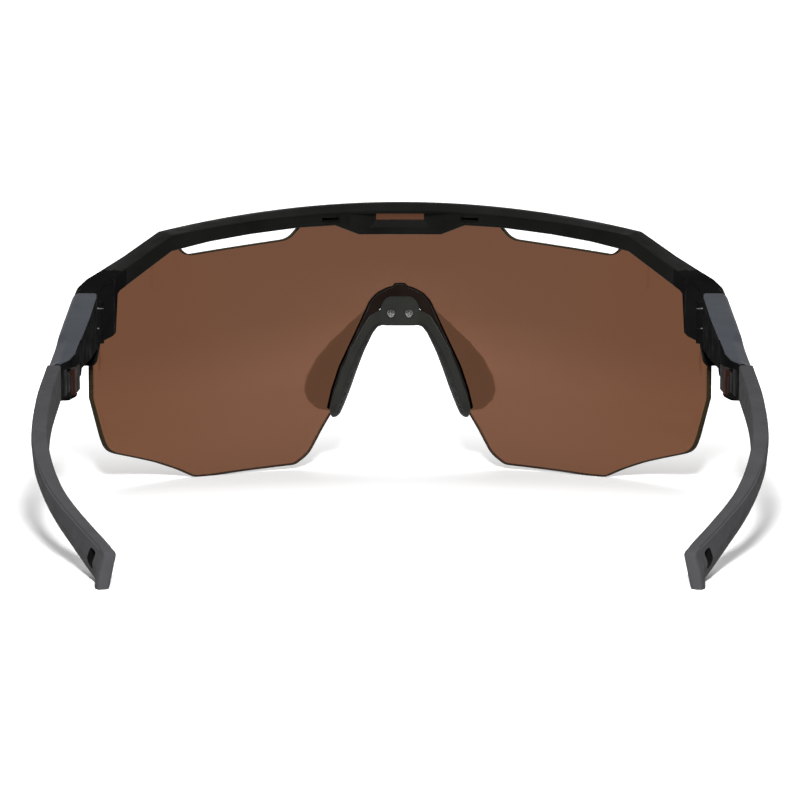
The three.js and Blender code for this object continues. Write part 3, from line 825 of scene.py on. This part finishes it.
def make_trim():
    """The ribbed inlay on the inner side of the arm, just ahead of the sleeve: a foot, three thin
    upright ribs with deep gaps between them, and a recess beside the inner cheek."""
    inner, outer, front, back = TRIM["inner"], TRIM["outer"], TRIM["front"], TRIM["back"]
    low, high = TRIM["bottom"], TRIM["top"]
    cheek = inner + 0.7
    outline = [(inner, front), (outer, front), (outer, back - 4), (cheek, back - 4)]
    outline += [(cheek, back - 2.5), (inner, back - 2.8)]
    trim = solid("left_trim", loft([[(x, y, z) for x, y in outline] for z in (low, high)]))
    for across, thick, reach, bottom, top in TRIM_RIBS:
        add(trim, block(across, across + thick, back - 5, reach, bottom, top))
    bevel(trim, 0.06, 50, 1)
    for polygon in trim.data.polygons:
        if polygon.center.x < cheek + 0.05 and polygon.center.y < back - 2:
            polygon.material_index = TRIM_FINISHES.index("cheek")
    return trim


SLEEVE_WALL = 0.75  # round the arm's spine
SLEEVE_LENGTH = 77.5  # along the edge
SLEEVE_LEAN = 2.4  # how far the underside turns inwards behind the ear
CAP_LEAN = 1.6  # how far the end cap's foot stands out again
CAP_RAKE = 1.45  # how far the underside reaches past the top at the tip
CAP_T = 0.965  # where the end cap starts
# Upper outer edge of the whole sleeve, from its front end to the tip.
SLEEVE_EDGE = [
    (70.5, SLEEVE_Y, 32.8), (71, 103, 27.6), (70, 119, 21.8), (66.2, 133, 15.5), (60.1, 144, 10.2),
    (53.7, 156.3, 6.4),
]
SLOT_ALONG, SLOT_HEIGHT = 2.8, 3.4  # the cord slot at the tip
SLOT_MIDDLE = (54.3, 150.6, 4.7)
SLOT_TURN, SLOT_TIP = 27.5, -15  # degrees


def along_sleeve(t):
    """Place and direction at t on the curve through the edge's points; a negative t lies straight
    ahead of it."""
    if t < 0:
        place, run = along_sleeve(0)
        return place + run * t * SLEEVE_LENGTH, run
    points = [Vector(p) for p in SLEEVE_EDGE]
    points = [2 * points[0] - points[1], *points, 2 * points[-1] - points[-2]]
    spans = len(SLEEVE_EDGE) - 1
    i = min(int(t * spans), spans - 1)
    a, b, c, d = points[i : i + 4]
    knots = [0.0]
    for one, two in ((a, b), (b, c), (c, d)):
        knots.append(knots[-1] + (two - one).length ** 0.5)
    u = knots[2] - knots[1]
    leave = u * ((b - a) / (knots[1] - knots[0]) - (c - a) / (knots[2] - knots[0]) + (c - b) / u)
    arrive = u * ((c - b) / u - (d - b) / (knots[3] - knots[1]) + (d - c) / (knots[3] - knots[2]))
    h = t * spans - i
    place = (2 * h**3 - 3 * h**2 + 1) * b + (h**3 - 2 * h**2 + h) * leave
    place += (-2 * h**3 + 3 * h**2) * c + (h**3 - h**2) * arrive
    run = (6 * h**2 - 6 * h) * b + (3 * h**2 - 4 * h + 1) * leave
    run += (-6 * h**2 + 6 * h) * c + (3 * h**2 - 2 * h) * arrive
    return place, run.normalized()


def end_inset(t, wall):
    """How much the section shrinks close to either end, which rounds that end off."""
    inset = wall
    front = (t * SLEEVE_LENGTH, 0.25 if wall else 0.45)
    tip = ((1 - t) * SLEEVE_LENGTH, 0.75)
    for distance, radius in (front, tip):
        short = max(radius - distance, 0)
        inset += radius - math.sqrt(radius**2 - short**2)
    return inset


def sleeve_ring(t, wall=0):
    """Section at t, inside a wall: a flat top, a fine groove beside it, an outer face with a crease
    half way down, and an underside that leans inwards behind the ear."""
    edge, run = along_sleeve(t)
    flat = Vector((run.x, run.y, 0)).normalized()
    inward = Vector((-flat.y, flat.x, 0))
    t = max(t, 0)
    cap = smoothstep(t, CAP_T - 0.006, CAP_T + 0.008)
    thick = 2.9 + 0.7 * t
    turn = SLEEVE_LEAN * math.sin(math.pi * smoothstep(t, 0.2, 1.15))
    lean = turn - CAP_LEAN * cap
    inner_lean = turn - (CAP_LEAN + 0.4) * smoothstep(t, 0.8, 1)
    taper = 0.9 * smoothstep(t, 0.6, 1)
    chamfer = 0.15 + 0.8 * smoothstep(t, 0.35, 0.9)
    crease = 0.38 * turn - 0.2 * smoothstep(t, 0.4, 0.6) - 0.3 * cap
    groove = 0 if wall else 0.3 * smoothstep(t, 0.42, 0.6) * (1 - cap)
    end = end_inset(t, wall)
    low = end - SLEEVE_HEIGHT
    ledge = chamfer + end + 0.1 + 0.7 * groove
    chain = [
        (ledge + 0.05, -end), (thick - end, -end), (thick + inner_lean - taper - end, low),
        (lean + end, low), (crease + end, -SLEEVE_HEIGHT / 2), (chamfer - 0.1 + end, -1.2),
        (chamfer + end, -end - 0.12 - groove),
    ]
    section = rounded_chain(chain, 0.2 if wall else 0.45 + 0.55 * smoothstep(t, 0.9, 1))
    section.append(Vector((ledge, -end - 0.06 - 0.8 * groove)))
    rake = CAP_RAKE * smoothstep(t, 0.75, 1)
    placed = []
    for across, up in section:
        point = edge + inward * across + flat * (-up / SLEEVE_HEIGHT * rake)
        placed.append((point.x, point.y, edge.z + up))
    return placed


def make_sleeve():
    start = [0, 0.0004, 0.0014, 0.0033, 0.0058]
    tip = [1 - d / SLEEVE_LENGTH for d in (0.75, 0.52, 0.34, 0.2, 0.1, 0.03, 0)]
    rows = [*start, *spaced(0.015, 0.94, 84), *spaced(0.945, 0.985, 15), *tip]
    sleeve = solid("left_sleeve", loft([sleeve_ring(t) for t in rows]))
    cut(sleeve, loft([sleeve_ring(t, SLEEVE_WALL) for t in (-0.02, 0, 0.06)]))
    below_ground = block(40, 60, 140, 165, -5, 0)
    cut(sleeve, below_ground)
    along, height = SLOT_ALONG / 2, SLOT_HEIGHT / 2
    slot = rounded([(-along, -height), (along, -height), (along, height), (-along, height)], 0.8)
    opening = loft([[(x, y, z) for y, z in slot] for x in (-6, 6)])
    tip = Matrix.Rotation(math.radians(SLOT_TIP), 4, "X")
    turn = Matrix.Rotation(math.radians(SLOT_TURN), 4, "Z") @ tip
    place = Matrix.Translation(SLOT_MIDDLE) @ turn
    cut(sleeve, turned(opening, place))
    through = turn @ Vector((1, 0, 0))
    for polygon in sleeve.data.polygons:
        _, y, z = place.inverted() @ polygon.center
        # painted shade: the cord slot's inner walls are plain black
        if abs(y) < along + 0.2 and abs(z) < height + 0.2 and abs(polygon.normal @ through) < 0.3:
            polygon.material_index = SLEEVE_FINISHES.index("painted_shade_black")
        # painted shade: outer faces that point downwards get the darker copy of the rubber
        elif polygon.normal.z < -0.14 and polygon.normal.x > 0:
            polygon.material_index = SLEEVE_FINISHES.index("ear_rubber_painted_shade")
    return sleeve


def make_temples():
    for made, node, slot, finishes in (
        (make_arm(), "temple_arm", "gloss_arm", ARM_FINISHES),
        (make_trim(), "temple_trim", "trim", TRIM_FINISHES),
        (make_sleeve(), "temple_sleeve", "ear_rubber", SLEEVE_FINISHES),
    ):
        other = other_side(made, made.name.replace("left", "right"))
        for piece, side in ((made, "left"), (other, "right")):
            finish_piece(piece, f"{side}_temple", [f"{side}_{node}"], finishes)
            piece.visible_glossy = False


# ---- stage, light and camera ----

GLOW_Y = 140  # middle of the floor's plain part
THROUGH_LENS = 0.54  # how bright the floor and the backdrop are behind the lens
MIRRORED = 0.32  # and how bright the floor is in mirror images
GLOW_START, GLOW_FULL = 0.12, 0.27  # metres from the middle; the glow grows between them
CAMERA_BACK, CAMERA_UP = 0.719, 0.101  # metres from the lens apex and from the floor
CAMERA_TIP = 6.79  # degrees down
CAMERA_LENS, CAMERA_SENSOR = 143.55, 36


def floor_material():
    """White to the camera, and glowing away from the glasses, so that it runs into the white backdrop.
    Through the lens and in mirror images it is a flat grey in place of what the camera sees there,
    which sets how dark the lens looks."""
    material, tree, shader = material_with(
        "floor_white", (0.9, 0.9, 0.9), 0.9, Specular_IOR_Level=0.0, Emission_Color=(1, 1, 1, 1))
    path = tree.nodes.new("ShaderNodeLightPath")
    place = tree.nodes.new("ShaderNodeTexCoord")
    away, mirrored, through, glow, seen, shade = (tree.nodes.new(f"ShaderNode{kind}") for kind in (
        "VectorMath", "Math", "Math", "Math", "MixRGB", "MixRGB"))
    away.operation, mirrored.operation = "DISTANCE", "MULTIPLY"
    through.operation = glow.operation = "MULTIPLY_ADD"
    away.inputs[1].default_value = (0, GLOW_Y * MM + APEX_Y, 0)
    through.inputs[1].default_value = THROUGH_LENS - MIRRORED
    tree.links.new(place.outputs["Object"], away.inputs[0])
    mirrored.inputs[1].default_value = MIRRORED
    tree.links.new(path.outputs["Is Glossy Ray"], mirrored.inputs[0])
    tree.links.new(mirrored.outputs["Value"], through.inputs[2])
    tree.links.new(path.outputs["Is Transmission Ray"], through.inputs[0])
    vary(tree, away.outputs["Value"], glow.inputs[0], 0, 0.9, GLOW_START, GLOW_FULL)
    tree.links.new(path.outputs["Is Camera Ray"], glow.inputs[1])
    tree.links.new(through.outputs["Value"], glow.inputs[2])
    tree.links.new(glow.outputs["Value"], shader.inputs["Emission Strength"])
    grey, dark = (0.15, 0.15, 0.15), (0.02, 0.02, 0.02)
    tint(tree, away.outputs["Value"], seen.inputs["Color1"], grey, dark, 0.1, 0.25)
    seen.inputs["Color2"].default_value = (0.9, 0.9, 0.9, 1)
    tree.links.new(path.outputs["Is Camera Ray"], seen.inputs["Fac"])
    tree.links.new(seen.outputs["Color"], shade.inputs["Color1"])
    shade.inputs["Color2"].default_value = (0, 0, 0, 1)
    tree.links.new(path.outputs["Is Transmission Ray"], shade.inputs["Fac"])
    tree.links.new(shade.outputs["Color"], shader.inputs["Base Color"])
    return material


def make_floor():
    reach = 30
    mesh = bpy.data.meshes.new("floor")
    corners = [(-reach, -reach, 0), (reach, -reach, 0), (reach, reach, 0), (-reach, reach, 0)]
    mesh.from_pydata(corners, [], [(0, 1, 2, 3)])
    floor = bpy.data.objects.new("floor", mesh)
    bpy.context.scene.collection.objects.link(floor)
    mesh.materials.append(floor_material())


def make_world():
    """A pale studio: brighter beyond the glasses and near the horizon, dimmer on the camera's side.
    The camera sees plain white instead, and a flat grey through the lens."""
    world = bpy.data.worlds.new("studio")
    bpy.context.scene.world = world
    world.use_nodes = True
    tree = world.node_tree
    lit, seen = tree.nodes["Background"], tree.nodes.new("ShaderNodeBackground")
    mix, path = tree.nodes.new("ShaderNodeMixShader"), tree.nodes.new("ShaderNodeLightPath")
    place, axes = tree.nodes.new("ShaderNodeTexCoord"), tree.nodes.new("ShaderNodeSeparateXYZ")
    direct = tree.nodes.new("ShaderNodeMath")
    direct.operation = "MAXIMUM"
    tree.links.new(place.outputs["Generated"], axes.inputs["Vector"])
    tint(tree, axes.outputs["Y"], lit.inputs["Color"], (0.24, 0.24, 0.24), (0.05, 0.05, 0.05), 0, 0.5)
    vary(tree, axes.outputs["Z"], lit.inputs["Strength"], 1.9, 1.2, 0.0, 0.3)
    vary(tree, path.outputs["Is Camera Ray"], seen.inputs["Strength"], THROUGH_LENS, 1.2, 0, 1)
    seen.inputs["Color"].default_value = (1, 1, 1, 1)
    tree.links.new(path.outputs["Is Camera Ray"], direct.inputs[0])
    tree.links.new(path.outputs["Is Transmission Ray"], direct.inputs[1])
    tree.links.new(direct.outputs["Value"], mix.inputs["Fac"])
    tree.links.new(lit.outputs["Background"], mix.inputs[1])
    tree.links.new(seen.outputs["Background"], mix.inputs[2])
    tree.links.new(mix.outputs["Shader"], tree.nodes["World Output"].inputs["Surface"])


def make_lights():
    """A key lamp in front of the camera and above it, which throws the temples' shadows forward, a
    broad sun from above and beyond the glasses, and a faint lamp on either side. No lamp shows
    through the lens, and only the side lamps show in the gloss."""
    kinds = {
        "key": ("AREA", 6.8, (0, 0.55, 0.21), (-70, 0)),
        "back": ("SUN", 1.3, (0, 0, 1), (30, 0)),
        "left": ("AREA", 0.05, (0.35, 0.05, 0.25), (0, 55)),
        "right": ("AREA", 0.05, (-0.35, 0.05, 0.25), (0, -55)),
    }
    for name, (kind, energy, (x, y, z), (tip, roll)) in kinds.items():
        light = bpy.data.lights.new(name, kind)
        light.energy = energy
        if kind == "SUN":
            light.angle = math.radians(50)
        else:
            light.shape = "DISK"
            light.size = 0.06 if name == "key" else 0.3
        lamp = bpy.data.objects.new(name, light)
        lamp.location = (x, y + APEX_Y, z)
        lamp.rotation_euler = (math.radians(tip), math.radians(roll), 0)
        lamp.visible_glossy = abs(x) > 0
        lamp.visible_transmission = False
        bpy.context.scene.collection.objects.link(lamp)


def make_camera():
    camera = bpy.data.objects.new("camera", bpy.data.cameras.new("camera"))
    bpy.context.scene.collection.objects.link(camera)
    camera.location = (0, CAMERA_BACK + APEX_Y, CAMERA_UP)
    camera.rotation_euler = (math.radians(90 - CAMERA_TIP), 0, math.pi)
    camera.data.lens = CAMERA_LENS
    camera.data.sensor_width = CAMERA_SENSOR
    camera.data.clip_start = 0.01
    bpy.context.scene.camera = camera


bpy.context.scene.view_settings.view_transform = "Standard"
make_camera()
make_world()
make_lights()
make_floor()
make_lens()
make_frame()
make_bracket()
make_saddle()
make_nose_screws()
make_hinge_screws()
make_temples()
